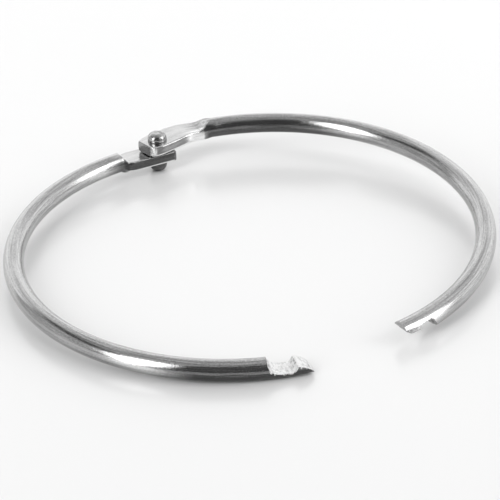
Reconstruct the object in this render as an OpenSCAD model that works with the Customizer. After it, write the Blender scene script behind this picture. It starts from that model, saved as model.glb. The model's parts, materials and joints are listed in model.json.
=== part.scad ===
// Hinged binder ring: two half rings of nickel-plated steel wire, joined by one rivet
// through their flattened ends and closed by two interlocking hooks.
// The hinge is at the back (+Y) and the mouth at the front (-Y). The lower half is on
// the left (-X). The ring stands on its rivet and on the wire, on the plane z = 0.

/* [Ring] */
// Inside diameter, from the hinge to the closed mouth
ring_bore = 76.2; // [60:0.1:90]
// Diameter of the wire
wire_d = 3.8; // [3.4:0.1:4.4]
// Angle between the halves, as the ring stands open
open_angle = 17; // [8:1:40]
// Height of the upper hook over its latched place, as the ring stands open
latch_lift = 0.5; // [0.45:0.05:0.9]

/* [Halves] */
// How far the centre of the lower half's arc lies beyond the closing line
lower_offset = 2.1; // [0.5:0.1:4]
// How far the centre of the upper half's arc lies beyond the closing line
upper_offset = 3.1; // [0.5:0.1:4]
// How far the line of the lower wire runs outside the rivet
lower_outset = -0.1; // [-0.6:0.1:1.5]
// How far the line of the upper wire runs outside the rivet
upper_outset = 0.8; // [-0.6:0.1:1.5]
// Angle by which the upper half's bulge stands up from the line of rivet and mouth
upper_twist = 1.5; // [0:0.1:2]

/* [Hinge tabs] */
// Thickness of both flattened tabs
tab_thickness = 2.1; // [1.8:0.1:2.4]
// Gap between the two tabs
tab_gap = 0.2; // [0.08:0.01:0.3]
// Top face of the lower tab, above the centre of its wire
lower_tab_top = 0.4; // [0.2:0.05:0.9]
// Bottom face of the upper tab, below the centre of its wire
upper_tab_drop = 1.4; // [0.8:0.05:1.6]
// Height of the bevel along the bottom edges of the tabs
tab_bevel = 0.28; // [0.1:0.02:0.5]

/* [Lower tab] */
// Width of the lower tab at the rivet
lower_tab_w = 4.9; // [4.2:0.1:5.6]
// Width of the lower tab at its end
lower_end_w = 4.8; // [4.2:0.1:5.4]
// Reach of the lower tab past the rivet
lower_tab_reach = 2.95; // [2.6:0.05:4]
// Distance from the rivet to the foot of the lower tab's shoulder
lower_flat = 7.1; // [5:0.1:9]
// Distance over which the lower tab rises to the full wire
lower_ramp = 1.5; // [0.8:0.1:4]
// Length of the lower tab's neck, where it starts to narrow before the shoulder
lower_neck = 1.5; // [0.5:0.1:6]
// Angle of the lower tab's line against the closed ring's own line at the rivet
lower_tab_turn = -8.5; // [-14:0.5:8]
// Distance from the rivet at which the lower tab starts to bend to the wire
lower_bend_at = 3; // [1:0.5:6]
// Length of straightened wire between the lower tab's shoulder and the round arc
lower_lead = 1.4; // [0.3:0.1:3]
// Radius of the lower tab's end corners, seen from above
lower_corner_r = 0.3; // [0.1:0.05:1]

/* [Upper tab] */
// Width of the upper tab at the rivet
upper_tab_w = 5.9; // [5:0.1:6.4]
// Width of the upper tab at its end
upper_end_w = 4.6; // [4:0.1:5.8]
// Reach of the upper tab past the rivet
upper_tab_reach = 3.1; // [2.6:0.05:4]
// Distance from the rivet to the foot of the upper tab's shoulder
upper_flat = 8.6; // [6:0.1:10]
// Distance over which the upper tab rises to the full wire
upper_ramp = 3.6; // [2:0.1:5]
// Length of the upper tab's neck, where it starts to narrow before the shoulder
upper_neck = 6.1; // [0.5:0.1:7]
// Angle of the upper tab's line against the closed ring's own line at the rivet
upper_tab_turn = 6; // [-14:0.5:8]
// Distance from the rivet at which the upper tab starts to bend to the wire
upper_bend_at = 2; // [1:0.5:6]
// Length of straightened wire between the upper tab's shoulder and the round arc
upper_lead = 0.4; // [0.3:0.1:3]
// Radius of the upper tab's end corner on the inside of the ring
upper_corner_r = 1; // [0.4:0.1:1.6]
// Radius of the upper tab's end corner on the outside of the ring
upper_back_corner_r = 0.35; // [0.1:0.05:1]

/* [Rivet] */
// Diameter of the rivet's shank
shank_d = 2.4; // [2:0.1:2.8]
// Gap between the shank and each hole, all round
shank_clearance = 0.07; // [0.04:0.01:0.1]
// Gap between each head and the tab that it holds
head_play = 0.06; // [0.04:0.01:0.12]
// Diameter of the top head
top_head_d = 3.8; // [3.4:0.1:4.6]
// Height of the top head
top_head_h = 1.45; // [0.6:0.05:1.7]
// Diameter of the bottom head
bottom_head_d = 3.6; // [3.2:0.1:4.4]
// Height of the bottom head
bottom_head_h = 2.1; // [1:0.05:2.2]

/* [Lower hook] */
// Reach of the lower hook's nose past the closing line
lower_reach = 2.55; // [2.4:0.05:2.8]
// Depth of the top of the nose's end, below the centre of the wire
nose_drop = 1.2; // [1:0.05:1.5]
// Height by which the underside of the nose rises towards its end
nose_lift = 0.5; // [0.1:0.05:0.6]
// Distance from the nose's end over which its underside rises
nose_lift_len = 5; // [2:0.5:7]
// Height of the ridge, above the centre of the wire
ridge_h = 0.5; // [0.4:0.01:0.55]
// Distance from the nose's end to the crest of the ridge
ridge_at = 2.85; // [2.8:0.05:3]
// Depth of the pocket behind the ridge, below the centre of the wire
pocket_depth = 0.5; // [0.45:0.05:1]
// Length of the pocket, from the ridge to the foot of its back wall
pocket_len = 3.45; // [3:0.05:3.6]
// Length of the pocket's back wall, up to the top of the wire
pocket_rise = 1.5; // [1.2:0.05:2]
// How far the pocket's back wall bows
pocket_bow = 0.5; // [0.1:0.05:0.6]
// Length of the concave latching wall, from the ridge to the pocket
pocket_wall = 0.85; // [0.5:0.05:1.1]

/* [Upper hook] */
// Reach of the upper hook's end past the closing line
upper_reach = 3.85; // [3.7:0.05:4]
// Height of the underside of the upper hook's end, above the centre of the wire
end_h = 0.82; // [0.5:0.02:1.1]
// Height of the tooth's underside, above the centre of the wire
tooth_h = 0.13; // [0.1:0.01:0.2]
// Distance from the hook's end to the start of the tooth
tooth_at = 1; // [0.7:0.05:1.2]
// Distance from the hook's end to the tooth's latching wall
tooth_wall_at = 2.9; // [2.7:0.05:2.95]
// Height of the notch's roof, above the centre of the wire
notch_h = 0.95; // [0.85:0.05:1.1]
// Distance from the hook's end to the back of the notch
notch_back_at = 5.7; // [5.4:0.05:6]
// Length of the notch's back wall, down to the bottom of the wire
notch_fall = 1.9; // [1.2:0.05:2.6]
// Length of the tooth's latching wall, from the tooth to the notch
tooth_wall = 0.35; // [0.2:0.05:0.5]

/* [Hidden] */

// Ring
wire_r = wire_d / 2;
closing_reach = ring_bore + wire_d - (lower_outset + upper_outset) / 2;  // rivet to mouth
half_open = open_angle / 2;

// Hinge
upper_z = lower_tab_top + tab_gap + upper_tab_drop;    // upper wire's centre at the rivet
upper_tilt = asin((upper_z - latch_lift) / closing_reach);     // slopes down to the hook
lower_tab_bottom = lower_tab_top - tab_thickness;
upper_tab_bottom = lower_tab_top + tab_gap;
upper_tab_top = upper_tab_bottom + tab_thickness;
bore_d = shank_d + 2 * shank_clearance;
rivet_bottom = lower_tab_bottom - head_play - bottom_head_h;
lower_arc_at = lower_flat + lower_ramp + lower_lead;   // where the wire's round arc starts
upper_arc_at = upper_flat + upper_ramp + upper_lead;

// A half is described as [offset, outset, hook reach, tilt, twist], bulging to +X,
// with the rivet's axis through the origin and the mouth towards -Y
LOWER = [lower_offset, lower_outset, lower_reach, 0, 0];
UPPER = [upper_offset, upper_outset, upper_reach, upper_tilt, upper_twist];

// Standing: the rivet's bottom head and the front of the wire touch z = 0
back_at = 4.5;         // distance from the rivet at which the upper tab reaches farthest back
front_y = min(front_of(LOWER), front_of(UPPER));
back_y = back_at * sin(upper_tab_turn + half_open)
         + upper_tab_w / 2 * cos(upper_tab_turn + half_open);
stand_tilt = asin((-rivet_bottom - wire_r) / (-front_y - wire_r));
stand_x = (side_of(LOWER) - side_of(UPPER)) / 2;
stand_y = -(front_y + back_y) / 2;
stand_z = -rivet_bottom * cos(stand_tilt);

// Fineness
side_steps = 14;       // facets on each side of a tab's cross-section
ramp_steps = 9;        // cross-sections along a tab's shoulder
neck_steps = 3;        // cross-sections from the shoulder to the wire's arc
flat_steps = 6;        // cross-sections along a tab's flat
corner_steps = 5;      // cross-sections round a tab's end corners
wall_steps = 7;        // facets on each curved wall of a hook
floor_steps = 4;       // facets on the short curves of a hook
brow_along = 0.32;     // where the slope of the nose bulges most, over its length
brow_up = 0.56;        // and how high it stands there, over its height
wall_along = 0.3;      // where the latching wall is most hollow, over its length
wall_down = 0.4;       // and how far it has dropped there, over its height
ridge_round = 0.15;    // how far the crest of the ridge is rounded off
back_foot_h = 0.2;     // height of the foot of the pocket's back wall over the pocket
wall_bow = 0.11;       // how far the notch's back wall bows
tooth_round = 0.08;    // how far the front of the tooth is rounded off
notch_bow = 0.08;      // how far the notch's roof bows
head_steps = 12;       // rings on a rivet head
head_side = 0.55;      // power that makes the sides of a head steep
head_crown = 0.85;     // power that makes its crown a low dome
round_limit = 84;      // degrees from the equator to the last point of a round section
outer_swell = 1.4;     // half height at which a tab's outer side would close, over its thickness
inner_swell = 0.85;    // the same for the rounder side towards the inside of the ring
seat_inset = 0.02;     // how far the end of a tab lies inside the round wire
seat_length = 0.5;     // how far it reaches into the wire
over = 2;              // how far the cutters reach past what they cut

$fn = 96;

function mix(a, b, k) = a + (b - a) * k;
function smooth(k) = let(c = min(1, max(0, k))) c * c * (3 - 2 * c);
function unit(v) = v / norm(v);

// Points of the circle through three points, from the first to the last
function arc_centre(p, q, r) =
    let(a = q - p, b = r - p, d = 2 * (a.x * b.y - a.y * b.x))
    p + [b.y * (a * a) - a.y * (b * b), a.x * (b * b) - b.x * (a * a)] / d;
function arc_through(p, q, r, steps) =
    let(c = arc_centre(p, q, r),
        v = p - c,
        w = r - c,
        turn = sign(v.x * (q - p).y - v.y * (q - p).x),
        sweep = acos(min(1, max(-1, v * w / (v * v)))))
    [for (i = [0:steps])
        let(a = turn * sweep * i / steps)
        c + [v.x * cos(a) - v.y * sin(a), v.x * sin(a) + v.y * cos(a)]];

// The arc of a half's centreline: its centre, its radius, and the angle from the middle
// of the half to the line through rivet and mouth
function arc_mid(half) = [-half[0], (half[1] - closing_reach) / 2];
function arc_r(half) = norm([half[0], (half[1] + closing_reach) / 2]);
function arc_half(half) = acos(half[0] / arc_r(half));
function along_arc(half, s) = s / arc_r(half) * 180 / PI;

// At distance s from the rivet along the wire: the angle, the outward direction
// and the point of the centreline
function wire_angle(half, s) = arc_half(half) - along_arc(half, s);
function wire_out(half, s) = [cos(wire_angle(half, s)), sin(wire_angle(half, s))];
function wire_point(half, s) = arc_mid(half) + arc_r(half) * wire_out(half, s);

// The angle at the hook's end, and how far the open half then reaches to the front
// and to its side
function end_angle(half) = -arc_half(half) - along_arc(half, half[2]);
function front_of(half) =
    arc_mid(half).x * sin(half_open) + arc_mid(half).y * cos(half_open)
    + (arc_r(half) + wire_r) * sin(end_angle(half) + half_open);
function side_of(half) =
    arc_mid(half).x * cos(half_open) - arc_mid(half).y * sin(half_open) + arc_r(half) + wire_r;

// The wire's own plane against its tab: twisted about the line to the mouth, then tilted
module set_wire(half) {
    rotate([half[3], 0, 0]) rotate([0, -half[4], 0]) children();
}
function set_point(half, p) =
    let(tilt = half[3], twist = half[4])
    [p.x * cos(twist),
     p.y * cos(tilt) - p.x * sin(twist) * sin(tilt),
     p.y * sin(tilt) + p.x * sin(twist) * cos(tilt)];

// How much narrower a tab is at distance x from its end, for a round corner
function corner_cut(x, radius) = x >= radius ? 0 : radius - sqrt(radius * radius - pow(radius - x, 2));

// One side of a cross-section, from the top edge to the bottom edge: a bulging arc,
// then the bevel. half_w is the greatest half width, half_h the half height
// and swell the half height at which the arc would close.
function section_side(half_w, half_h, swell, bevel, steps) =
    let(top_a = min(round_limit, asin(half_h / swell)),
        low_a = min(round_limit, asin((half_h - bevel) / swell)))
    concat(
        [for (i = [0:steps])
            let(a = mix(top_a, -low_a, i / steps))
            [half_w * cos(a), swell * sin(a)]],
        [[half_w * cos(low_a) - bevel, -half_h]]);

// A tab: flat from its end to the foot of the shoulder, then swelling to the round wire.
// Its line starts straight and bends to the wire's arc.
// width, end_w: at the rivet and at the end. reach: past the rivet. taper_from: where the
// width starts to narrow to the wire. turn: direction of the line. bend_at, arc_at: where
// the line starts to bend, and where the arc starts. corner_out, corner_in: corner radii.
module tab(half, width, end_w, reach, flat, ramp, taper_from, turn, bend_at, arc_at,
           face_top, corner_out, corner_in) {
    shoulder = flat + ramp;
    along = [cos(turn), sin(turn)];
    across = [-along.y, along.x];
    centre_z = face_top - tab_thickness / 2;
    corner = max(corner_out, corner_in);
    round_r = wire_r - seat_inset;
    stations = concat(
        [for (i = [0:corner_steps]) -reach + corner * (1 - cos(90 * i / corner_steps))],
        [for (i = [1:flat_steps]) mix(corner - reach, flat, i / flat_steps)],
        [for (i = [1:ramp_steps]) flat + ramp * i / ramp_steps],
        [for (i = [1:neck_steps]) mix(shoulder, arc_at, i / neck_steps)],
        [arc_at + seat_length]);
    rings = [for (d = stations)
        let(grow = smooth((d - flat) / ramp),
            narrow = smooth((d - taper_from) / (shoulder - taper_from)),
            bend = smooth((d - bend_at) / (arc_at - bend_at)),
            tab_half_w = mix(end_w, width, sin(90 * min(1, 1 + d / reach))) / 2,
            half_w = mix(tab_half_w, round_r, narrow),
            half_h = mix(tab_thickness / 2, round_r, grow),
            swell_out = mix(tab_thickness * outer_swell, round_r, grow),
            swell_in = mix(tab_thickness * inner_swell, round_r, grow),
            bevel = mix(tab_bevel, seat_inset, grow),
            arc_point = set_point(half, wire_point(half, d)),
            middle = [mix(d * along.x, arc_point.x, bend),
                      mix(d * along.y, arc_point.y, bend),
                      mix(centre_z, arc_point.z, grow)],
            outward = unit(mix(across, wire_out(half, d), bend)),
            outer = section_side(half_w - corner_cut(d + reach, corner_out),
                                 half_h, swell_out, bevel, side_steps),
            inner = section_side(half_w - corner_cut(d + reach, corner_in),
                                 half_h, swell_in, bevel, side_steps),
            n = len(outer))
        concat(
            [for (p = outer) middle + [p.x * outward.x, p.x * outward.y, p.y]],
            [for (i = [n - 1:-1:0])
                let(p = inner[i])
                middle + [-p.x * outward.x, -p.x * outward.y, p.y]])];
    m = len(rings[0]);
    last = len(rings) - 1;
    points = [for (ring = rings) each ring];
    sides = [for (k = [0:last - 1], i = [0:m - 1])
        let(a = k * m + i, b = k * m + (i + 1) % m)
        each [[a, b, a + m], [b, b + m, a + m]]];
    start_cap = [for (i = [m - 1:-1:0]) i];
    end_cap = [for (i = [0:m - 1]) last * m + i];
    polyhedron(points, concat(sides, [start_cap], [end_cap]), convexity = 4);
}

// The round wire of a half, from distance arc_at to the hook's end
module wire(half, arc_at) {
    translate(arc_mid(half))
        rotate([0, 0, end_angle(half)])
            rotate_extrude(angle = wire_angle(half, arc_at) - end_angle(half))
                translate([arc_r(half), 0]) circle(wire_r);
}

// A radial cutter at the hook's end. Its outline is drawn with x as the distance
// from the end along the wire and y as the height over the wire's centre.
module hook_cutter(half, outline) {
    translate(arc_mid(half))
        rotate([0, 0, end_angle(half)])
            translate([arc_r(half), 0, 0])
                rotate([90, 0, 90])
                    linear_extrude(wire_d + 2 * over, center = true) polygon(outline);
}

// The lower hook: a nose that slopes up to a ridge, with a pocket behind it
function lower_hook_outline() =
    let(tip = [0, -nose_drop],
        brow = [ridge_at * brow_along, mix(-nose_drop, ridge_h, brow_up)],
        crest = [ridge_at - ridge_round, ridge_h],
        edge = [ridge_at, ridge_h - ridge_round / 8],
        wall = edge + [pocket_wall * wall_along, -(ridge_h + pocket_depth) * wall_down],
        wall_foot = [ridge_at + pocket_wall, -pocket_depth],
        back_foot = [ridge_at + pocket_len, back_foot_h - pocket_depth],
        floor = mix(wall_foot, back_foot, 0.5) - [0, back_foot_h / 2],
        back_end = [back_foot.x + pocket_rise, wire_r],
        back_mid = mix(back_foot, back_end, 0.5) + pocket_bow * unit([1, -1]))
    concat(
        [[-over, -nose_drop]],
        arc_through(tip, brow, crest, wall_steps),
        arc_through(edge, wall, wall_foot, wall_steps),
        arc_through(wall_foot, floor, back_foot, floor_steps),
        arc_through(back_foot, back_mid, back_end, wall_steps),
        [back_end + [over, over + wire_r], [-over, wire_r + over + wire_r]]);

// Under the lower hook's nose
function nose_underside() =
    [[-over, -wire_r - over], [nose_lift_len, -wire_r - over], [nose_lift_len, -wire_r],
     [0, nose_lift - wire_r], [-over, nose_lift - wire_r]];

// The upper hook: a thin end, a tooth that drops behind the ridge, and a notch over it
function upper_hook_outline() =
    let(end = [0, end_h],
        tooth_front = [tooth_at, tooth_h + tooth_round],
        tooth_slope = mix(end, tooth_front, 0.5) + tooth_round * [0.5, -0.5],
        tooth_back = [tooth_wall_at, tooth_h],
        roof_front = [tooth_wall_at + tooth_wall, notch_h - notch_bow],
        roof_back = [notch_back_at, notch_h - notch_bow],
        roof_mid = [(roof_front.x + roof_back.x) / 2, notch_h],
        fall_end = [notch_back_at + notch_fall, -wire_r],
        fall_mid = mix(roof_back, fall_end, 0.5) + wall_bow * [1, 0.5])
    concat(
        [[-over, end_h]],
        arc_through(end, tooth_slope, tooth_front, floor_steps),
        [tooth_back],
        arc_through(roof_front, roof_mid, roof_back, wall_steps),
        arc_through(roof_back, fall_mid, fall_end, wall_steps),
        [fall_end + [0, -over], [-over, -wire_r - over]]);

// Places a piece that is modelled about the rivet's axis in the standing ring
module stand() {
    translate([stand_x, stand_y, stand_z]) rotate([stand_tilt, 0, 0]) children();
}

module lower_ring_half() {
    color([0.76, 0.77, 0.78])
        stand() rotate([0, 0, -half_open]) mirror([1, 0, 0])
            difference() {
                union() {
                    wire(LOWER, lower_arc_at);
                    tab(LOWER, lower_tab_w, lower_end_w, lower_tab_reach, lower_flat, lower_ramp,
                        lower_flat - lower_neck, lower_tab_turn, lower_bend_at, lower_arc_at,
                        lower_tab_top, lower_corner_r, lower_corner_r);
                }
                translate([0, 0, lower_tab_bottom - over])
                    cylinder(d = bore_d, h = tab_thickness + 2 * over);
                hook_cutter(LOWER, lower_hook_outline());
                hook_cutter(LOWER, nose_underside());
            }
}

module upper_ring_half() {
    color([0.8, 0.81, 0.82])
        stand() translate([0, 0, upper_z]) rotate([0, 0, half_open])
            difference() {
                union() {
                    set_wire(UPPER) wire(UPPER, upper_arc_at);
                    tab(UPPER, upper_tab_w, upper_end_w, upper_tab_reach, upper_flat, upper_ramp,
                        upper_flat - upper_neck, upper_tab_turn, upper_bend_at, upper_arc_at,
                        tab_thickness - upper_tab_drop, upper_back_corner_r, upper_corner_r);
                }
                translate([0, 0, -upper_tab_drop - over])
                    cylinder(d = bore_d, h = tab_thickness + 2 * over);
                set_wire(UPPER) hook_cutter(UPPER, upper_hook_outline());
            }
}

// Outline of a rivet head from its rim to its crown: steep sides and a low dome
function head_outline(radius, height) =
    [for (i = [0:head_steps])
        let(a = 90 * i / head_steps)
        [radius * pow(cos(a), head_side), height * pow(sin(a), head_crown)]];

module rivet() {
    color([0.7, 0.71, 0.72])
        stand() rotate_extrude()
            polygon(concat(
                [for (p = head_outline(top_head_d / 2, top_head_h))
                    [max(0, p.x), upper_tab_top + head_play + p.y]],
                [for (i = [head_steps:-1:0])
                    let(p = head_outline(bottom_head_d / 2, bottom_head_h)[i])
                    [max(0, p.x), lower_tab_bottom - head_play - p.y]],
                [[shank_d / 2, lower_tab_bottom - head_play],
                 [shank_d / 2, upper_tab_top + head_play]]));
}

lower_ring_half();
upper_ring_half();
rivet();
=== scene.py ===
"""Binder ring of nickel-plated wire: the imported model, dressed and set in a studio.

Shapes are worked out in millimetres about the rivet, as in the part's source, and placed in
metres. Each half is one sweep: a flat tab, a shoulder, the round wire, and a hook.
"""

import json
import math
from collections import namedtuple
from dataclasses import dataclass

import bmesh
import bpy
from mathutils import Matrix, Vector, noise


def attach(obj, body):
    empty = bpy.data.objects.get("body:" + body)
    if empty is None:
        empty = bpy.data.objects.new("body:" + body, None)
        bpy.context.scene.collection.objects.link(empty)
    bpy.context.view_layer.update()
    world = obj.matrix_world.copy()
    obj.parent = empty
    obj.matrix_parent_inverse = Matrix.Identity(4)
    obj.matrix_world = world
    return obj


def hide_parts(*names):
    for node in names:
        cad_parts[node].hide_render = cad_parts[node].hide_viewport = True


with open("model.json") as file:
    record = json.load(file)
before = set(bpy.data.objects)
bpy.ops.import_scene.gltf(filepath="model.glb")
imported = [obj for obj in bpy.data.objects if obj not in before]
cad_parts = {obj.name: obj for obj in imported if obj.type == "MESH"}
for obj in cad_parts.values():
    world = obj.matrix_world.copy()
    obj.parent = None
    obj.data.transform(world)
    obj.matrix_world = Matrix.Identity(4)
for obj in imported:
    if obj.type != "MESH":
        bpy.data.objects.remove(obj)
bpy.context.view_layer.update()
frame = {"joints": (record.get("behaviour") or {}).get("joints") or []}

MM = 0.001

# Ring
RING_BORE = 76.2                # inside diameter, from the hinge to the closed mouth
WIRE_R = 1.9
LOWER_OUTSET = -0.1             # how far the line of each wire runs outside the rivet
UPPER_OUTSET = 0.8
CLOSING_REACH = RING_BORE + 2 * WIRE_R - (LOWER_OUTSET + UPPER_OUTSET) / 2  # rivet to mouth
HALF_OPEN = math.radians(8.5)   # turn of each half from the closed ring
LATCH_LIFT = 0.5                # height of the upper hook over its latched place

# Hinge, with heights over the centre of the lower wire at the rivet
TAB_THICKNESS = 2.1
LOWER_TAB_TOP = 0.4
TAB_GAP = 0.2                   # between the two tabs
UPPER_TAB_DROP = 1.4            # bottom of the upper tab, below the centre of its own wire
UPPER_Z = LOWER_TAB_TOP + TAB_GAP + UPPER_TAB_DROP      # centre of the upper wire
SHANK_R = 1.2
SHANK_CLEARANCE = 0.07          # gap between the shank and each bore, all round
BORE_R = SHANK_R + SHANK_CLEARANCE
HEAD_PLAY = 0.06                # gap between each head and the tab that it holds
TOP_HEAD = (1.9, 1.45)          # radius and height
LOW_HEAD = (1.8, 2.1)

# Cross-sections
OUTER_SWELL = 1.4               # half height at which a tab's outer side would close, and
INNER_SWELL = 2.2               # its side towards the ring's middle, over its thickness
LEAST_EDGE = 0.05               # least rounding of a tab's edges
HOOK_EDGE = 0.07                # rounding of the edges that the cut of a hook leaves
FULL_ANGLE = math.radians(88)   # where the side of a section meets its top or bottom at most
FLAT_ANGLE = math.radians(76)   # a section whose sides end below this angle is cut flat
CUT_ROUGH = 0.08                # unevenness of the stamped faces of the hooks
SHARP_ANGLE = math.radians(35)  # faces that meet at more than this angle keep a sharp edge

# Fineness
RUN_POINTS = 11                 # points along the top, and along the bottom, of a section
SIDE_POINTS = 33                # points down each side
EDGE_POINTS = 5                 # points round each edge
BURR_FACES = 2                  # faces beside a torn edge that a burr can reach
CORNER_STEPS = 14               # sections round the corners of a tab's end
TAB_PITCH = 0.25                # distance between the sections along a tab
SHOULDER_PITCH = 0.06           # and along its shoulder
WIRE_PITCH = 0.5                # and along the wire
HEAD_STEPS = 20                 # rings on a rivet head
RIVET_SIDES = 72
DRILL_SIDES = 64


def mix(a, b, k):
    """The value at the share k of the way from a to b."""
    return a + (b - a) * k


def smooth(k):
    """0 to 1 in a soft S."""
    k = min(1.0, max(0.0, k))
    return k * k * (3 - 2 * k)


def slope(k, soft):
    """0 to 1 in a straight line, each end of which is rounded over the share soft."""
    k = min(1.0, max(0.0, k))
    top = 1 - soft
    if k < soft:
        return k * k / (2 * soft * top)
    if k > top:
        return 1 - (1 - k) ** 2 / (2 * soft * top)
    return (k - soft / 2) / top


def corner_cut(x, radius):
    """How far a rounded corner stands back at distance x from the end."""
    if x >= radius:
        return 0.0
    return radius - math.sqrt(max(0.0, radius ** 2 - (radius - x) ** 2))


def bezier(a, b, c, k):
    """The point at the share k of the curve from a to c, which bends towards b."""
    return a.lerp(b, k).lerp(b.lerp(c, k), k)


def spread(start, stop, pitch):
    """Evenly spaced distances from start to stop, both included."""
    steps = max(1, round((stop - start) / pitch))
    return [mix(start, stop, k / steps) for k in range(steps + 1)]


# The two halves

@dataclass
class Half:
    """The sizes of one half of the ring, and its centre line, which bulges to +X."""

    offset: float           # how far the centre of its arc lies beyond the closing line
    outset: float           # how far the line of its wire runs outside the rivet
    hook_reach: float       # reach of its hook past the closing line
    tab_w: float            # width of the tab at the rivet
    end_w: float            # and at its end
    tab_reach: float        # reach of the tab past the rivet
    flat: float             # distance from the rivet to the foot of the shoulder
    ramp: float             # length of the shoulder, which rises to the round wire
    ramp_soft: float        # share of the shoulder that is rounded, at each of its ends
    neck: float             # how far before the shoulder the tab starts to narrow
    lead: float             # straightened wire between the shoulder and the round arc
    turn: float             # direction of the tab's line, in radians from +X
    bend_at: float          # distance from the rivet at which that line starts to bend
    face_top: float         # top of the tab, above the centre of its own wire
    corner_out: float       # radius of the end corner on the outside of the ring
    corner_in: float        # and on its inside
    edge_out: float         # rounding of the top edge on the outside
    edge_in: float          # and on the inside
    bevel_out: float        # rounding of the bottom edge on the outside
    bevel_in: float         # and on the inside
    end_edge: float         # rounding of the edges of the tab's end
    tilt: float = 0.0       # slope of the wire's plane down to the hook, in radians
    twist: float = 0.0      # its turn about the line from the rivet to the mouth

    def __post_init__(self):
        self.arc_mid = Vector((-self.offset, (self.outset - CLOSING_REACH) / 2, 0))
        self.arc_r = math.hypot(self.offset, (self.outset + CLOSING_REACH) / 2)
        self.arc_half = math.acos(self.offset / self.arc_r)
        self.length = 2 * self.arc_half * self.arc_r + self.hook_reach
        self.shoulder = self.flat + self.ramp
        self.arc_at = self.shoulder + self.lead
        self.set_wire = Matrix.Rotation(self.tilt, 3, "X") @ Matrix.Rotation(-self.twist, 3, "Y")

    def frame_at(self, d):
        """Centre, outward and up directions of the section at distance d from the rivet."""
        angle = self.arc_half - d / self.arc_r
        wire_out = Vector((math.cos(angle), math.sin(angle), 0))
        arc_point = self.set_wire @ (self.arc_mid + wire_out * self.arc_r)
        bend = smooth((d - self.bend_at) / (self.arc_at - self.bend_at))
        along = Vector((math.cos(self.turn), math.sin(self.turn), 0))
        across = Vector((-along.y, along.x, 0))
        middle = (along * d).lerp(arc_point, bend)
        middle.z = mix(self.face_top - TAB_THICKNESS / 2, arc_point.z, self.grow(d))
        outward = across.lerp(self.set_wire @ wire_out, bend).normalized()
        up = Vector((0, 0, 1)).lerp(self.set_wire @ Vector((0, 0, 1)), bend).normalized()
        return middle, outward, up

    def grow(self, d):
        """0 on the flat tab, 1 on the full wire."""
        return slope((d - self.flat) / self.ramp, self.ramp_soft)


LOWER = Half(
    offset=2.1, outset=LOWER_OUTSET, hook_reach=2.55,
    tab_w=4.9, end_w=4.8, tab_reach=2.95,
    flat=7.1, ramp=1.5, ramp_soft=0.2, neck=1.5, lead=1.4,
    turn=math.radians(-8.5), bend_at=3.0, face_top=LOWER_TAB_TOP,
    corner_out=0.3, corner_in=0.3, edge_out=0.15, edge_in=0.35,
    bevel_out=0.28, bevel_in=0.5, end_edge=0.12,
)
UPPER = Half(
    offset=3.1, outset=UPPER_OUTSET, hook_reach=3.85,
    tab_w=5.9, end_w=4.6, tab_reach=3.1,
    flat=8.6, ramp=3.6, ramp_soft=0.5, neck=6.1, lead=0.4,
    turn=math.radians(6), bend_at=2.0, face_top=TAB_THICKNESS - UPPER_TAB_DROP,
    corner_out=0.35, corner_in=1.0, edge_out=0.2, edge_in=0.3,
    bevel_out=0.28, bevel_in=0.6, end_edge=0.2,
    tilt=math.asin((UPPER_Z - LATCH_LIFT) / CLOSING_REACH), twist=math.radians(1.5),
)


# Hooks: outlines whose x runs from the hook's end along the wire, and whose y is the height
# over the wire's centre

def straight_line(p, q, steps):
    """Points from p to q, both included."""
    return [(mix(p.x, q.x, k / steps), mix(p.y, q.y, k / steps)) for k in range(steps + 1)]


def arc_through(p, q, r, steps):
    """Points of the circle through p, q and r, from p to r."""
    a, b = q - p, r - p
    aa, bb = a.dot(a), b.dot(b)
    doubled_cross = 2 * (a.x * b.y - a.y * b.x)
    centre = p + Vector((b.y * aa - a.y * bb, a.x * bb - b.x * aa)) / doubled_cross
    v, w = p - centre, r - centre
    turn = math.acos(max(-1.0, min(1.0, v.dot(w) / v.dot(v))))
    turn = math.copysign(turn, v.x * a.y - v.y * a.x)
    made = []
    for i in range(steps + 1):
        c, s = math.cos(turn * i / steps), math.sin(turn * i / steps)
        made.append((centre.x + v.x * c - v.y * s, centre.y + v.x * s + v.y * c))
    return made


def lower_hook_top():
    """The top of the lower hook: a nose that rises to a ridge, and the pocket behind it."""
    nose_drop = 1.2                         # end of the nose, below the centre of the wire
    ridge_at, ridge_h = 2.85, 0.5
    ridge_round, edge_drop = 0.15, 0.02     # how far the crest and its edge are rounded off
    brow_along, brow_up = 0.32, 0.56        # where the nose bulges, over its length and height
    wall_len, wall_along, wall_down = 0.85, 0.3, 0.4    # the latching wall, and its hollow
    pocket_depth, pocket_len, pocket_rise, pocket_bow = 0.5, 3.45, 1.5, 0.5
    back_foot_h = 0.2                       # foot of the pocket's back wall, over its floor
    tip = Vector((0, -nose_drop))
    brow = Vector((ridge_at * brow_along, mix(-nose_drop, ridge_h, brow_up)))
    crest = Vector((ridge_at - ridge_round, ridge_h))
    edge = Vector((ridge_at, ridge_h - edge_drop))
    wall_mid = edge + Vector((wall_len * wall_along, -(ridge_h + pocket_depth) * wall_down))
    wall_foot = Vector((ridge_at + wall_len, -pocket_depth))
    back_foot = Vector((ridge_at + pocket_len, back_foot_h - pocket_depth))
    bottom_mid = wall_foot.lerp(back_foot, 0.5) - Vector((0, back_foot_h / 2))
    back_end = Vector((back_foot.x + pocket_rise, WIRE_R))
    back_mid = back_foot.lerp(back_end, 0.5) + Vector((1, -1)).normalized() * pocket_bow
    nose = arc_through(tip, brow, crest, steps=26)
    wall = arc_through(edge, wall_mid, wall_foot, steps=14)
    bottom = arc_through(wall_foot, bottom_mid, back_foot, steps=20)
    back = arc_through(back_foot, back_mid, back_end, steps=16)
    return nose + wall + bottom[1:] + back[1:]


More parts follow.
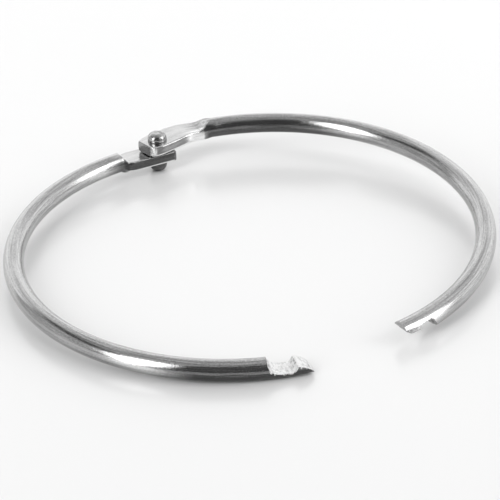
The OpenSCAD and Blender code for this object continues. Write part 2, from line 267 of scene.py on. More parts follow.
def upper_hook_low():
    """The underside of the upper hook: a thin end, a tooth, and the notch over the ridge."""
    end_h, tooth_h, notch_h = 0.82, 0.13, 0.95
    tooth_at, tooth_wall_at, notch_back_at = 1.0, 2.9, 5.7
    tooth_wall, notch_fall = 0.35, 1.9      # lengths of the notch's two walls
    tooth_round, notch_bow, wall_bow = 0.08, 0.08, 0.11
    end = Vector((0, end_h))
    tooth_front = Vector((tooth_at, tooth_h + tooth_round))
    tooth_slope = end.lerp(tooth_front, 0.5) + Vector((1, -1)) * tooth_round / 2
    tooth_back = Vector((tooth_wall_at, tooth_h))
    roof_front = Vector((tooth_wall_at + tooth_wall, notch_h - notch_bow))
    roof_back = Vector((notch_back_at, notch_h - notch_bow))
    roof_mid = Vector(((roof_front.x + roof_back.x) / 2, notch_h))
    fall_end = Vector((notch_back_at + notch_fall, -WIRE_R))
    fall_mid = roof_back.lerp(fall_end, 0.5) + Vector((1, 0.5)) * wall_bow
    front = arc_through(end, tooth_slope, tooth_front, steps=10)
    tooth = straight_line(tooth_front, tooth_back, steps=12)
    wall = straight_line(tooth_back, roof_front, steps=6)
    roof = arc_through(roof_front, roof_mid, roof_back, steps=14)
    fall = arc_through(roof_back, fall_mid, fall_end, steps=20)
    return front + tooth[1:] + wall[1:-1] + roof + fall[1:]


def lower_hook_low(x):
    """The underside of the lower hook's nose, which rises towards its end."""
    nose_lift, nose_lift_len = 0.5, 5
    return -WIRE_R + nose_lift * max(0.0, 1 - x / nose_lift_len)


def lower_cut(x, outline_h):
    """Top and bottom of the lower wire at distance x from the hook's end.

    outline_h is the height of the hook's outline there, or None where the wire is whole.
    """
    return (WIRE_R if outline_h is None else outline_h, lower_hook_low(x))


def upper_cut(x, outline_h):
    """The same for the upper wire."""
    return (WIRE_R, -WIRE_R if outline_h is None else outline_h)


# Cross-sections

class Side:
    """One side of a section between the heights top and low, with its edges rounded.

    w is its half width, and swell the half height at which it would close.
    """

    def __init__(self, w, swell, top_edge, low_edge, top, low):
        least_inward = 0.02     # room that an edge has on the top or bottom at least
        share_down = 2.2        # the side's height over the room that an edge has on it
        limit = math.sin(FULL_ANGLE)
        self.w = w
        self.swell = swell
        self.top_a = math.asin(max(-1.0, min(limit, top / swell)))
        self.low_a = math.asin(min(1.0, max(-limit, low / swell)))
        inward = max(least_inward, w * math.cos(max(abs(self.top_a), abs(self.low_a))))
        down = (self.top_a - self.low_a) * min(w, swell) / share_down
        self.points = self.outline(min(top_edge, down, inward), min(low_edge, down, inward))

    def point(self, a):
        return Vector((self.w * math.cos(a), self.swell * math.sin(a)))

    def turn_for(self, length, a):
        """The angle that takes up that length of the side, at the angle a."""
        return length / math.hypot(self.w * math.sin(a), self.swell * math.cos(a))

    def outline(self, top_edge, low_edge):
        """Points down the side: a round edge, the bulging face, and a round edge."""
        high, low = self.point(self.top_a), self.point(self.low_a)
        face_top = self.top_a - self.turn_for(top_edge, self.top_a)
        face_low = self.low_a + self.turn_for(low_edge, self.low_a)
        start, stop = high - Vector((top_edge, 0)), low - Vector((low_edge, 0))
        made = [bezier(start, high, self.point(face_top), k / EDGE_POINTS)
                for k in range(EDGE_POINTS)]
        made += [self.point(mix(face_top, face_low, k / SIDE_POINTS)) for k in range(SIDE_POINTS)]
        made += [bezier(self.point(face_low), low, stop, k / EDGE_POINTS)
                 for k in range(EDGE_POINTS + 1)]
        return made

    def crown(self, x, a):
        """Height of the top or bottom at x, where the side ends at the angle a.

        It is level, but swells to the round wire as the angle nears upright.
        """
        level = self.swell * math.sin(a)
        arched = math.copysign(self.swell * math.sqrt(max(0.0, 1 - (x / self.w) ** 2)), level)
        return mix(level, arched, smooth((abs(a) - FLAT_ANGLE) / (FULL_ANGLE - FLAT_ANGLE)))


def section(outer, inner):
    """Closed section: along the bottom, up the inner side, along the top, down the outer."""
    def run(start, stop, angle_of):
        made = []
        for k in range(RUN_POINTS):
            x = mix(start, stop, (k + 0.5) / RUN_POINTS)
            nearest = outer if x > 0 else inner
            made.append(Vector((x, nearest.crown(x, angle_of(nearest)))))
        return made

    bottom = run(outer.points[-1].x, -inner.points[-1].x, lambda part: part.low_a)
    top = run(-inner.points[0].x, outer.points[0].x, lambda part: part.top_a)
    up_inside = [Vector((-p.x, p.y)) for p in reversed(inner.points)]
    return bottom + up_inside + top + outer.points


def cut_faces(first):
    """Faces of a section that a hook's cut makes: a run from that point, and its edges."""
    edge_before, edge_after = 3, 2
    return range(first - edge_before, first + RUN_POINTS + edge_after)


LOW_CUT = cut_faces(0)
TOP_CUT = cut_faces(RUN_POINTS + SIDE_POINTS + 2 * EDGE_POINTS + 1)


def tab_section(half, d):
    """Section of a half at distance d from the rivet, from the tab's end to the round wire."""
    from_end = d + half.tab_reach
    grow = half.grow(d)
    narrow_from = half.flat - half.neck
    narrow = smooth((d - narrow_from) / (half.shoulder - narrow_from))
    widen = math.sin(math.pi / 2 * min(1, from_end / half.tab_reach))
    w = mix(mix(half.end_w, half.tab_w, widen) / 2, WIRE_R, narrow)
    h = mix(TAB_THICKNESS / 2, WIRE_R, grow) - corner_cut(from_end, half.end_edge)

    def tab_side(corner, swell, top_edge, low_edge):
        edges = [max(LEAST_EDGE, edge * (1 - grow)) for edge in (top_edge, low_edge)]
        return Side(w - corner_cut(from_end, corner), swell, *edges, h, -h)

    swell_out = mix(TAB_THICKNESS * OUTER_SWELL, WIRE_R, grow)
    swell_in = mix(TAB_THICKNESS * INNER_SWELL, WIRE_R, narrow)
    return section(tab_side(half.corner_out, swell_out, half.edge_out, half.bevel_out),
                   tab_side(half.corner_in, swell_in, half.edge_in, half.bevel_in))


def wire_section(top, low):
    """Section of the round wire, cut off at the heights top and low."""
    both = Side(WIRE_R, WIRE_R, HOOK_EDGE, HOOK_EDGE, top, low)
    return section(both, both)


# Sweeps

# One section in its place: d is its distance from the rivet, and hooked tells whether it is
# in the cut of the hook.
Ring = namedtuple("Ring", "d points hooked")


def tab_stations(half):
    """Distances from the rivet of the sections along a tab, its shoulder and its lead."""
    corner = max(half.corner_out, half.corner_in, half.end_edge)
    turns = [math.radians(90 * k / CORNER_STEPS) for k in range(CORNER_STEPS + 1)]
    made = [corner * (1 - math.cos(turn)) - half.tab_reach for turn in turns]
    made += spread(corner - half.tab_reach, half.flat, TAB_PITCH)[1:]
    made += spread(half.flat, half.shoulder, SHOULDER_PITCH)[1:]
    made += spread(half.shoulder, half.arc_at, TAB_PITCH)[1:]
    return made


def sweep(half, outline, cut):
    """Rings of a half from its tab to the end of its hook."""
    rings = [Ring(d, tab_section(half, d), False) for d in tab_stations(half)]
    hook_len = outline[-1][0]
    for d in spread(half.arc_at, half.length - hook_len, WIRE_PITCH)[1:]:
        rings.append(Ring(d, wire_section(*cut(half.length - d, None)), False))
    for x, h in reversed(outline[:-1]):
        rings.append(Ring(half.length - x, wire_section(*cut(x, h)), True))
    return rings


def torn(x, d):
    """Unevenness of a torn face at that place of the straightened wire, about -1 to 1."""
    coarse_share, fine_scale, apart = 0.5, 2.5, 5
    coarse = noise.noise(Vector((x, d, 0)))
    fine = noise.noise(Vector((x * fine_scale, d * fine_scale, apart)))
    return coarse_share * coarse + fine


def widened(faces, by, count):
    """Those faces out of the count round a section, and all within by steps of them."""
    return {(i + k) % count for i in faces for k in range(-by, by + 1)}


def add_section(bm, half, ring, place, torn_faces):
    """Vertices of one section, each with its place on the straightened wire."""
    straight = bm.verts.layers.float_vector["straight"]
    middle, outward, up = half.frame_at(ring.d)
    row = []
    for i, p in enumerate(ring.points):
        rough = CUT_ROUGH * torn(p.x, ring.d) if ring.hooked and i in torn_faces else 0
        vert = bm.verts.new(place @ (middle + outward * p.x + up * (p.y + rough)))
        vert[straight] = (p.x, ring.d, p.y)
        row.append(vert)
    return row


def swept_mesh(name, half, rings, place, cut):
    """Mesh of a half. The cut faces of its hook, and burrs beside them, have material 1."""
    burr_least = 0.12           # least unevenness at which a face beside the torn ones has a burr
    count = len(rings[0].points)
    cut = {i % count for i in cut}
    torn_faces = widened(cut, EDGE_POINTS, count)
    burr_faces = widened(torn_faces, BURR_FACES, count)
    bm = bmesh.new()
    bm.verts.layers.float_vector.new("straight")
    rows = [add_section(bm, half, ring, place, torn_faces) for ring in rings]

    def stamped(ring, i):
        least = 0.0 if i in torn_faces else burr_least
        burred = i in burr_faces and torn(ring.points[i].x, ring.d) > least
        return ring.hooked and (i in cut or burred)

    for row, next_row, ring in zip(rows, rows[1:], rings[1:]):
        for i in range(count):
            j = (i + 1) % count
            face = bm.faces.new((row[i], row[j], next_row[j], next_row[i]))
            face.smooth = True
            face.material_index = 1 if stamped(ring, i) else 0
    for row in (rows[0], rows[-1]):
        bm.faces.new(row).smooth = False
    mesh = finished_mesh(name, bm)
    mesh.set_sharp_from_angle(angle=SHARP_ANGLE)
    return mesh


def finished_mesh(name, bm):
    """Makes a mesh of a built shape, with all its faces looking outward."""
    bmesh.ops.recalc_face_normals(bm, faces=bm.faces)
    mesh = bpy.data.meshes.new(name)
    bm.to_mesh(mesh)
    bm.free()
    return mesh


# Placing

HINGE = next(joint for joint in frame["joints"] if joint["name"] == "hinge_pivot")
HINGE_AT = Vector(HINGE["pos_m"])
HINGE_AXIS = Vector(HINGE["axis"])


def standing():
    """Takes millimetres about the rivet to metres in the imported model, where the ring stands."""
    across = Vector((1, 0, 0))
    hinge_h = (LOWER_TAB_TOP + TAB_GAP / 2) * MM
    place = Matrix((across, HINGE_AXIS.cross(across), HINGE_AXIS)).transposed().to_4x4()
    place.translation = HINGE_AT - HINGE_AXIS * hinge_h
    return place @ Matrix.Scale(MM, 4)


STAND = standing()
MIRROR_X = Matrix.Scale(-1, 4, Vector((1, 0, 0)))
PLACE_LOWER = STAND @ Matrix.Rotation(-HALF_OPEN, 4, "Z") @ MIRROR_X
PLACE_UPPER = STAND @ Matrix.Translation((0, 0, UPPER_Z)) @ Matrix.Rotation(HALF_OPEN, 4, "Z")


def new_piece(name, mesh, body, node, materials):
    """Puts a mesh in the scene, riding on a body in place of its CAD node."""
    obj = bpy.data.objects.new(name, mesh)
    bpy.context.scene.collection.objects.link(obj)
    for material in materials:
        mesh.materials.append(material)
    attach(obj, body)
    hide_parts(node)
    return obj


def bore(obj):
    """Cuts the rivet's hole through a tab."""
    drill_len = 20
    bpy.ops.mesh.primitive_cylinder_add(vertices=DRILL_SIDES, radius=BORE_R * MM,
                                        depth=drill_len * MM)
    drill = bpy.context.object
    upright = HINGE_AXIS.to_track_quat("Z", "Y").to_matrix().to_4x4()
    drill.matrix_world = Matrix.Translation(HINGE_AT) @ upright
    cut = obj.modifiers.new("bore", "BOOLEAN")
    cut.object = drill
    cut.operation = "DIFFERENCE"
    cut.solver = "MANIFOLD"
    bpy.context.view_layer.update()
    evaluated = obj.evaluated_get(bpy.context.evaluated_depsgraph_get())
    bored = bpy.data.meshes.new_from_object(evaluated)
    obj.modifiers.remove(cut)
    obj.data = bored
    bpy.data.objects.remove(drill)


# Rivet

def head_outline(radius, height):
    """A rivet head from its rim to its crown: steep sides and a low dome."""
    side_power, crown_power = 0.55, 0.85
    made = []
    for k in range(HEAD_STEPS + 1):
        a = math.pi / 2 * k / HEAD_STEPS
        made.append((radius * math.cos(a) ** side_power, height * math.sin(a) ** crown_power))
    return made


def rivet_outline():
    """Radius and height of the rivet's outline, from the bottom crown to the top one."""
    top_seat = LOWER_TAB_TOP + TAB_GAP + TAB_THICKNESS + HEAD_PLAY
    low_seat = LOWER_TAB_TOP - TAB_THICKNESS - HEAD_PLAY
    top = [(r, top_seat + h) for r, h in head_outline(*TOP_HEAD)]
    low = [(r, low_seat - h) for r, h in head_outline(*LOW_HEAD)]
    return low[::-1] + [(SHANK_R, low_seat), (SHANK_R, top_seat)] + top


def rivet_mesh():
    """The rivet: two heads and the shank between them, with the slight dents of forming."""
    dent_depth, dent_scale = 0.015, 0.9
    outline = rivet_outline()
    bm = bmesh.new()
    straight = bm.verts.layers.float_vector.new("straight")
    rows = []
    for r, h in outline[1:-1]:
        row = []
        for k in range(RIVET_SIDES):
            a = 2 * math.pi * k / RIVET_SIDES
            p = Vector((r * math.cos(a), r * math.sin(a), h))
            dent = 1 - dent_depth * (1 + noise.noise(p * dent_scale))
            vert = bm.verts.new(STAND @ Vector((p.x * dent, p.y * dent, h)))
            vert[straight] = p
            row.append(vert)
        rows.append(row)
    for row, next_row in zip(rows, rows[1:]):
        for k in range(RIVET_SIDES):
            j = (k + 1) % RIVET_SIDES
            bm.faces.new((row[k], row[j], next_row[j], next_row[k])).smooth = True
    for row, (_, h) in ((rows[0], outline[0]), (rows[-1], outline[-1])):
        tip = bm.verts.new(STAND @ Vector((0, 0, h)))
        tip[straight] = (0, 0, h)
        for k in range(RIVET_SIDES):
            bm.faces.new((row[k], row[(k + 1) % RIVET_SIDES], tip)).smooth = True
    return finished_mesh("rivet_solid", bm)


# Materials. Each is drawn on the straightened wire: X is outward, Y the distance from the
# rivet, and Z up, all in millimetres. For the rivet it is the place about its own axis.

NOISE_SPAN = (0.3, 0.7)         # the range that holds most of a noise's values
CORNER_AT = -4.92               # sum of X and Y at the sheared corner of a tab's end

# A band of painted light round the wire: a painted shade where shade is below 1 and a painted
# highlight where it is above.
PaintedLightMark = namedtuple("PaintedLightMark", "side start end fade_in fade_out shade")
# Painted light on a tab: painted shade on its upright sides and end, a painted highlight on its
# lower edges, and painted light on its sheared corner.
TabPaintedLight = namedtuple("TabPaintedLight", "end side_shade bevel_shade corner_shade end_shade")


class Shader:
    """A material's node tree, and short ways to add to it."""

    def __init__(self, name):
        self.material = bpy.data.materials.new(name)
        self.material.use_nodes = True
        self.tree = self.material.node_tree
        self.surface = self.tree.nodes["Principled BSDF"]

    def join(self, value, socket):
        """Links an output to a socket, or sets a constant on the socket itself."""
        if isinstance(value, bpy.types.NodeSocket):
            self.tree.links.new(value, socket)
        else:
            socket.default_value = value

    def straight(self, across=1.0, along=1.0):
        """The place on the straightened wire, times across and along it."""
        place = self.tree.nodes.new("ShaderNodeAttribute")
        place.attribute_name = "straight"
        scale = self.tree.nodes.new("ShaderNodeVectorMath")
        scale.operation = "MULTIPLY"
        self.join(place.outputs["Vector"], scale.inputs[0])
        scale.inputs[1].default_value = (across, along, across)
        return scale.outputs["Vector"]

    def part_of(self, vector, axis):
        node = self.tree.nodes.new("ShaderNodeSeparateXYZ")
        self.join(vector, node.inputs[0])
        return node.outputs[axis]

    def place(self, axis):
        """One coordinate of the place on the straightened wire."""
        return self.part_of(self.straight(), axis)

    def facing_up(self):
        """1 on a face that looks up, -1 on one that looks down."""
        geometry = self.tree.nodes.new("ShaderNodeNewGeometry")
        return self.part_of(geometry.outputs["Normal"], "Z")

    def noise(self, place, scale, detail):
        node = self.tree.nodes.new("ShaderNodeTexNoise")
        self.join(place, node.inputs["Vector"])
        node.inputs["Scale"].default_value = scale
        node.inputs["Detail"].default_value = detail
        return node.outputs["Fac"]

    def ramp(self, value, span, result):
        """Turns a value that runs through the span into one that runs through the result."""
        node = self.tree.nodes.new("ShaderNodeMapRange")
        self.join(value, node.inputs["Value"])
        for name, number in zip(("From Min", "From Max", "To Min", "To Max"), (*span, *result)):
            self.join(number, node.inputs[name])
        return node.outputs["Result"]

    def blend(self, mask, off, on):
        """off where the mask is 0, and on where it is 1."""
        return self.ramp(mask, (0.0, 1.0), (off, on))

    def maths(self, operation, a, b):
        node = self.tree.nodes.new("ShaderNodeMath")
        node.operation = operation
        self.join(a, node.inputs[0])
        self.join(b, node.inputs[1])
        return node.outputs["Value"]

    def add(self, a, b):
        return self.maths("ADD", a, b)

    def times(self, a, b):
        return self.maths("MULTIPLY", a, b)

    def size_of(self, a):
        return self.maths("ABSOLUTE", a, 0.0)

    def grey(self, value):
        """A neutral metal colour of that brightness."""
        node = self.tree.nodes.new("ShaderNodeCombineColor")
        for channel in ("Red", "Green", "Blue"):
            self.join(value, node.inputs[channel])
        return node.outputs["Color"]

    def bump(self, height, depth, onto=None):
        """A relief of that depth in mm, on top of another one."""
        node = self.tree.nodes.new("ShaderNodeBump")
        self.join(height, node.inputs["Height"])
        node.inputs["Distance"].default_value = depth * MM
        if onto is not None:
            self.join(onto, node.inputs["Normal"])
        return node.outputs["Normal"]

    def metal(self, tone, rough, normal):
        """The finished material: metal of that brightness, roughness and relief."""
        self.join(self.grey(tone), self.surface.inputs["Base Color"])
        self.surface.inputs["Metallic"].default_value = 1
        self.join(rough, self.surface.inputs["Roughness"])
        self.join(normal, self.surface.inputs["Normal"])
        return self.material


def painted_light_mark(sh, lines, painted_mark):
    """1 where the plate carries a band of painted light, else 0.

    side is an angle round the wire: 0 is outward, 90 up and 180 towards the ring's middle.
    start and end are distances from the rivet, with a fade at each.
    """
    ragged = 0.25               # how far its edges stray
    rim, core = 0.35, 0.75      # cosine of the angle from its middle, at its rim and in its core
    turn = math.radians(painted_mark.side)
    facing = sh.tree.nodes.new("ShaderNodeVectorMath")
    facing.operation = "DOT_PRODUCT"
    sh.join(sh.straight(along=0.0), facing.inputs[0])
    facing.inputs[1].default_value = (math.cos(turn) / WIRE_R, 0.0, math.sin(turn) / WIRE_R)
    strayed = sh.add(facing.outputs["Value"], sh.ramp(lines, NOISE_SPAN, (-ragged, ragged)))
    round_wire = sh.ramp(strayed, (rim, core), (0.0, 1.0))
    along = sh.place("Y")
    begins = sh.ramp(along, (painted_mark.start, painted_mark.start + painted_mark.fade_in), (0.0, 1.0))
    ends = sh.ramp(along, (painted_mark.end - painted_mark.fade_out, painted_mark.end), (1.0, 0.0))
    return sh.times(round_wire, sh.times(begins, ends))


def sheared_corner(sh):
    """1 at the inner corner of a tab's end, 0 elsewhere."""
    fade = 0.2
    diagonal = sh.add(sh.place("X"), sh.place("Y"))
    return sh.ramp(diagonal, (CORNER_AT, CORNER_AT + fade), (1.0, 0.0))


def tab_painted_light(sh, tab):
    """Painted light on a tab: painted shade on its sides and end, a painted highlight on its lower
    edges, and a painted corner, brighter on the upper tab and darker on the lower.
    """
    end_span = (-2.98, -2.9)    # distances between which the shade of the end fades in
    facing_up = sh.facing_up()
    along = sh.place("Y")
    upright = sh.ramp(sh.size_of(facing_up), (0.3, 0.7), (1.0, 0.0))
    lower_edge = sh.times(sh.ramp(facing_up, (-0.35, -0.15), (1.0, 0.0)),
                          sh.ramp(facing_up, (-0.98, -0.9), (0.0, 1.0)))
    end_face = sh.ramp(along, end_span, (1.0, 0.0))
    shade = sh.blend(upright, 1.0, sh.blend(end_face, tab.side_shade, tab.end_shade))
    shade = sh.blend(lower_edge, shade, tab.bevel_shade)
    shade = sh.blend(sheared_corner(sh), shade, tab.corner_shade)
    on_tab = sh.ramp(along, (tab.end - 1.0, tab.end), (1.0, 0.0))
    return sh.blend(on_tab, 1.0, shade)


def pressed_face(sh, tab):
    """1 on the flat top and bottom of a tab, which the press left smooth; the plate is painted
    brighter there, a painted sheen.
    """
    fade = 2.5
    level = sh.ramp(sh.size_of(sh.facing_up()), (0.75, 0.95), (0.0, 1.0))
    return sh.times(level, sh.ramp(sh.place("Y"), (tab.end, tab.end + fade), (1.0, 0.0)))


def plated_wire(name, tab, marks):
    """Nickel plate over drawn wire: lines and scratches along it, fine grain, dull patches, and
    bands and tab faces of painted shade and painted highlight.
    """
    bright, brightest = 0.45, 0.95      # usual brightness of the plate, and the most it reaches
    lines_shade = (bright * 0.72, bright * 1.18)
    pressed_painted_sheen = (bright * 1.15, bright * 1.4)
    grain_tone = 0.1                    # how much the grain adds or takes
    corner_grain = 9.0                  # how much deeper it is on the sheared corner
    patch_span = (0.35, 0.65)
    sh = Shader(name)
    lines = sh.noise(sh.straight(along=0.03), scale=4.0, detail=5.0)
    scratches = sh.noise(sh.straight(along=0.06), scale=10.0, detail=2.0)
    patches = sh.noise(sh.straight(along=0.3), scale=0.7, detail=2.0)
    grain = sh.noise(sh.straight(), scale=5.5, detail=2.0)

    tone = sh.add(sh.ramp(lines, (0.32, 0.68), lines_shade),
                  sh.ramp(grain, NOISE_SPAN, (-grain_tone, grain_tone)))
    # Each band paints the plate darker, a painted shade, where its shade is below 1, and brighter,
    # a painted highlight, where it is above.
    for painted_mark in marks:
        tone = sh.times(tone, sh.blend(painted_light_mark(sh, lines, painted_mark), 1.0, painted_mark.shade))
    # Painted shade and painted highlights on the tab, and a cap on brightness.
    tone = sh.maths("MINIMUM", sh.times(tone, tab_painted_light(sh, tab)), brightest)
    # The flat faces of the tab are evened out, as the press left them, and painted brighter: a
    # painted sheen.
    pressed_with_sheen = sh.ramp(patches, patch_span, pressed_painted_sheen)
    tone = sh.ramp(pressed_face(sh, tab), (0.0, 1.3), (tone, pressed_with_sheen))

    rough = sh.add(sh.ramp(patches, patch_span, (0.06, 0.12)),
                   sh.ramp(lines, NOISE_SPAN, (0.0, 0.04)))
    normal = sh.bump(lines, 0.01)
    normal = sh.bump(scratches, 0.012, normal)
    grain_height = sh.times(grain, sh.blend(sheared_corner(sh), 1.0, corner_grain))
    normal = sh.bump(grain_height, 0.016, normal)
    return sh.metal(tone, rough, normal)


def stamped_face(name, pale, dull):
    """The faces that a tool cut for the hooks: paler and rougher, with torn, folded metal, and
    painted shade that makes the folds on steep walls darker.
    """
    grain_tone = 0.08
    sh = Shader(name)
    folds = sh.noise(sh.straight(along=1.6), scale=1.3, detail=5.0)
    grain = sh.noise(sh.straight(), scale=5.0, detail=3.0)
    # Painted shade: the dark folds are darker still on steep walls.
    dark_folds_and_steep_shade = sh.ramp(sh.size_of(sh.facing_up()), (0.45, 0.85), (dull / 3, dull))
    tone = sh.add(sh.ramp(folds, (0.36, 0.56), (dark_folds_and_steep_shade, pale)),
                  sh.ramp(grain, NOISE_SPAN, (-grain_tone, grain_tone)))
    rough = sh.ramp(folds, NOISE_SPAN, (0.28, 0.48))
    normal = sh.bump(folds, 0.16)
    normal = sh.bump(grain, 0.03, normal)
    return sh.metal(tone, rough, normal)


def rivet_metal(name):
    """Nickel plate on the rivet: its bottom head is painted darker, a painted shade, with lumps
    from the forming tool.
    """
    sh = Shader(name)
    marks = sh.noise(sh.straight(), scale=1.1, detail=3.0)
    grain = sh.noise(sh.straight(), scale=5.0, detail=2.0)
    lumps = sh.noise(sh.straight(), scale=0.9, detail=1.0)
    above_bottom = sh.ramp(sh.place("Z"), (-1.6, -0.8), (0.0, 1.0))
    # Painted shade: the bottom head is darker.
    tone = sh.times(sh.ramp(marks, (0.4, 0.6), (0.28, 0.5)), sh.blend(above_bottom, 0.35, 1.0))
    rough = sh.ramp(grain, NOISE_SPAN, (0.1, 0.22))
    normal = sh.bump(sh.times(lumps, sh.blend(above_bottom, 1.0, 0.0)), 0.4)
    normal = sh.bump(marks, 0.08, normal)
    normal = sh.bump(grain, 0.01, normal)
    return sh.metal(tone, rough, normal)


# The object

def lower_plate():
    """The plate of the lower wire, with painted shade by its hook, by its shoulder and on its
    tab's sides, end and corner, and a painted highlight on the tab's lower edges.
    """
    # Painted shade on the tab's sides, end and corner, and a painted highlight on its lower edges.
    tab = TabPaintedLight(end=8.6, side_shade=0.25, bevel_shade=2.2, corner_shade=0.4, end_shade=0.25)
    # Painted shade on the wire's lower outer side by the hook, and on its inner side by the
    # shoulder.
    hook_painted_shade = PaintedLightMark(side=-45, start=96, end=138, fade_in=8, fade_out=1, shade=0.18)
    shoulder_painted_shade = PaintedLightMark(side=205, start=7, end=13, fade_in=1, fade_out=4, shade=0.3)
    return plated_wire("lower_plate", tab, (hook_painted_shade, shoulder_painted_shade))


def upper_plate():
    """The plate of the upper wire, with painted shade on its inner side, its underside and its
    tab's sides and end, and painted highlights on its neck and on the tab's lower edges and
    corner.
    """
    # Painted shade on the tab's sides and end, and painted highlights on its lower edges and
    # sheared corner.
    tab = TabPaintedLight(end=6.4, side_shade=0.55, bevel_shade=2.3, corner_shade=2.1, end_shade=0.9)
    # Painted shade on the inner side and the underside past the neck, and a painted highlight on
    # the neck's inner side.
    inner_painted_shade = PaintedLightMark(side=188, start=10, end=40, fade_in=1, fade_out=14, shade=0.72)
    underside = PaintedLightMark(side=226, start=10, end=46, fade_in=1, fade_out=12, shade=0.32)
    neck_painted_highlight = PaintedLightMark(side=188, start=4.8, end=10.2, fade_in=2.4, fade_out=0.4, shade=2.3)
    return plated_wire("upper_plate", tab, (inner_painted_shade, underside, neck_painted_highlight))


def lower_half():
    """The lower half, which carries the pocket."""
    rings = sweep(LOWER, lower_hook_top(), lower_cut)
    mesh = swept_mesh("lower_half_wire", LOWER, rings, PLACE_LOWER, TOP_CUT)
    materials = (lower_plate(), stamped_face("lower_stamped", pale=0.84, dull=0.58))
    bore(new_piece("lower_half_wire", mesh, "lower_half", "lower_ring_half",
                   materials))


def upper_half():
    """The upper half, which carries the tooth."""
    rings = sweep(UPPER, upper_hook_low(), upper_cut)
    mesh = swept_mesh("upper_half_wire", UPPER, rings, PLACE_UPPER, LOW_CUT)
    # The upper hook's cut faces look down, and are a darker copy of the same metal: painted shade.
    materials = (upper_plate(), stamped_face("upper_stamped_painted_shade", pale=0.7, dull=0.2))
    bore(new_piece("upper_half_wire", mesh, "upper_half", "upper_ring_half",
                   materials))


def rivet():
    """The rivet that joins the two tabs."""
    new_piece("hinge_rivet", rivet_mesh(), "rivet", "rivet",
              (rivet_metal("rivet_metal"),))


# Studio. Azimuths are in degrees, clockwise seen from above. Lamps and cards count theirs
# from the direction in which the camera looks, so 0 is behind the ring.

VIEW_AZIMUTH = 26.275           # direction of the view, in degrees from +Y towards +X
VIEW_ELEVATION = 29.749         # height of the camera, seen from the ring, in degrees
VIEW_ROLL = -2.3644             # in degrees
VIEW_TARGET = Vector((-1.431, -3.697, 3.0))     # the place that the camera looks at, in mm
VIEW_DISTANCE = 415.15          # from the camera to that place, in mm
FRAME_PX = 500                  # width of the photograph's square, in pixels
FOCAL_PX = 2290.27              # focal length, in the same pixels
SENSOR = 36                     # width of the camera's sensor, in mm
STUDIO_R = 1.4                  # distance of the lamps and cards from the ring, in metres
FLOOR_R = 3.0                   # half the width of the floor, in metres


def direction(azimuth, elevation):
    """Unit vector towards that azimuth and elevation, both in degrees."""
    az, el = math.radians(azimuth), math.radians(elevation)
    return Vector((math.sin(az) * math.cos(el), math.cos(az) * math.cos(el), math.sin(el)))


def camera():
    """The photograph's view, fitted to the outline of the ring."""
    ahead = direction(VIEW_AZIMUTH, -VIEW_ELEVATION)
    level = direction(VIEW_AZIMUTH + 90, 0)
    upright = level.cross(ahead)
    roll = math.radians(VIEW_ROLL)
    right = level * math.cos(roll) + upright * math.sin(roll)
    up = upright * math.cos(roll) - level * math.sin(roll)
    pose = Matrix((right, up, -ahead)).transposed().to_4x4()
    pose.translation = (VIEW_TARGET - ahead * VIEW_DISTANCE) * MM
    cam = bpy.data.objects.new("camera", bpy.data.cameras.new("camera"))
    cam.matrix_world = pose
    cam.data.sensor_width = SENSOR
    cam.data.lens = SENSOR * FOCAL_PX / FRAME_PX
    cam.data.clip_start = 0.01
    bpy.context.scene.collection.objects.link(cam)
    bpy.context.scene.camera = cam


def staged(name, points, faces, material, seen):
    """A mesh of the studio, which isn't part of the object, seen by the camera or not."""
    mesh = bpy.data.meshes.new(name)
    mesh.from_pydata(points, [], faces)
    mesh.materials.append(material)
    obj = bpy.data.objects.new(name, mesh)
    bpy.context.scene.collection.objects.link(obj)
    obj.visible_camera = seen


def floor():
    """A plain white table with a slight sheen."""
    material = bpy.data.materials.new("floor")
    material.use_nodes = True
    surface = material.node_tree.nodes["Principled BSDF"]
    surface.inputs["Base Color"].default_value = (0.9, 0.9, 0.9, 1)
    surface.inputs["Roughness"].default_value = 0.24
    surface.inputs["IOR"].default_value = 2.0
    corners = [(x * FLOOR_R, y * FLOOR_R, 0) for x, y in ((-1, -1), (1, -1), (1, 1), (-1, 1))]
    staged("floor", corners, [(0, 1, 2, 3)], material, seen=True)


def softbox(name, azimuth, elevation, wide, high, power):
    """An oval soft lamp, wide and high in degrees as the ring sees it, that faces the ring."""
    light = bpy.data.lights.new(name, "AREA")
    light.shape = "ELLIPSE"
    light.size = 2 * STUDIO_R * math.tan(math.radians(wide / 2))
    light.size_y = 2 * STUDIO_R * math.tan(math.radians(high / 2))
    light.energy = power
    obj = bpy.data.objects.new(name, light)
    bpy.context.scene.collection.objects.link(obj)
    obj.location = direction(VIEW_AZIMUTH + azimuth, elevation) * STUDIO_R
    obj.rotation_euler = (-obj.location).to_track_quat("-Z", "Y").to_euler()
    obj.visible_camera = False


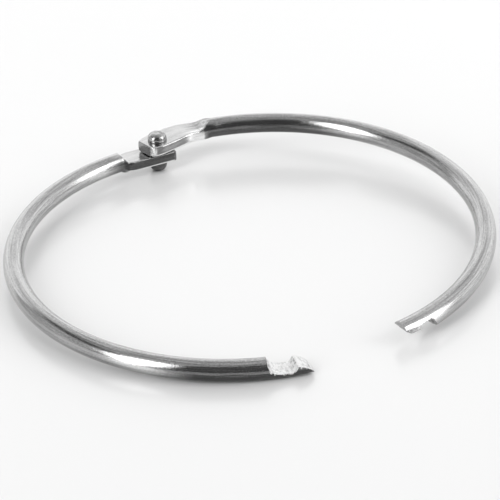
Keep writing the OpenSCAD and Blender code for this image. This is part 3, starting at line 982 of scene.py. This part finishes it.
def glow(name, radiance):
    """A plain light of that radiance, for a card."""
    material = bpy.data.materials.new(name)
    material.use_nodes = True
    nodes, links = material.node_tree.nodes, material.node_tree.links
    nodes.clear()
    emission = nodes.new("ShaderNodeEmission")
    emission.inputs["Color"].default_value = (1, 1, 1, 1)
    emission.inputs["Strength"].default_value = radiance
    links.new(emission.outputs[0], nodes.new("ShaderNodeOutputMaterial").inputs["Surface"])
    return material


def card(name, azimuths, elevations, radiance):
    """A bent card round the table, pale or dark, that the metal reflects.

    azimuths and elevations are those at which it starts and ends.
    """
    degrees_a_step, rows = 8, 2
    steps = max(1, round((azimuths[1] - azimuths[0]) / degrees_a_step))
    points = []
    for j in range(rows + 1):
        for i in range(steps + 1):
            azimuth = VIEW_AZIMUTH + mix(*azimuths, i / steps)
            points.append(direction(azimuth, mix(*elevations, j / rows)) * STUDIO_R)
    across = steps + 1
    corners = [j * across + i for j in range(rows) for i in range(steps)]
    faces = [(k, k + 1, k + across + 1, k + across) for k in corners]
    staged(name, points, faces, glow(name, radiance), seen=False)


def studio():
    """The lamps and cards whose reflections draw the lights and darks of the metal."""
    softbox("left_softbox", azimuth=-131.5, elevation=29, wide=25, high=56, power=10)
    softbox("right_softbox", azimuth=100.5, elevation=26, wide=22, high=54, power=6.5)
    softbox("key_lamp", azimuth=136, elevation=50, wide=14, high=14, power=0.8)
    card("back_wall", azimuths=(-58, 86), elevations=(0, 35), radiance=1.32)
    card("back_streak", azimuths=(8, 20), elevations=(0, 33), radiance=1.7)
    card("back_top", azimuths=(-40, 86), elevations=(35, 60), radiance=0.92)
    card("front_dark", azimuths=(150, 212), elevations=(0, 62), radiance=0.12)
    card("front_top", azimuths=(140, 222), elevations=(62, 76), radiance=0.42)
    card("strip_dark", azimuths=(-112, -52), elevations=(39, 50), radiance=0.08)
    card("strip_grey", azimuths=(-116, -40), elevations=(50, 58), radiance=0.4)


def room():
    """The pale grey room beyond the cards."""
    world = bpy.data.worlds.new("studio")
    world.use_nodes = True
    background = world.node_tree.nodes["Background"]
    background.inputs["Color"].default_value = (1, 1, 1, 1)
    background.inputs["Strength"].default_value = 0.6
    bpy.context.scene.world = world


lower_half()
upper_half()
rivet()
camera()
floor()
studio()
room()
bpy.context.scene.view_settings.view_transform = "Standard"
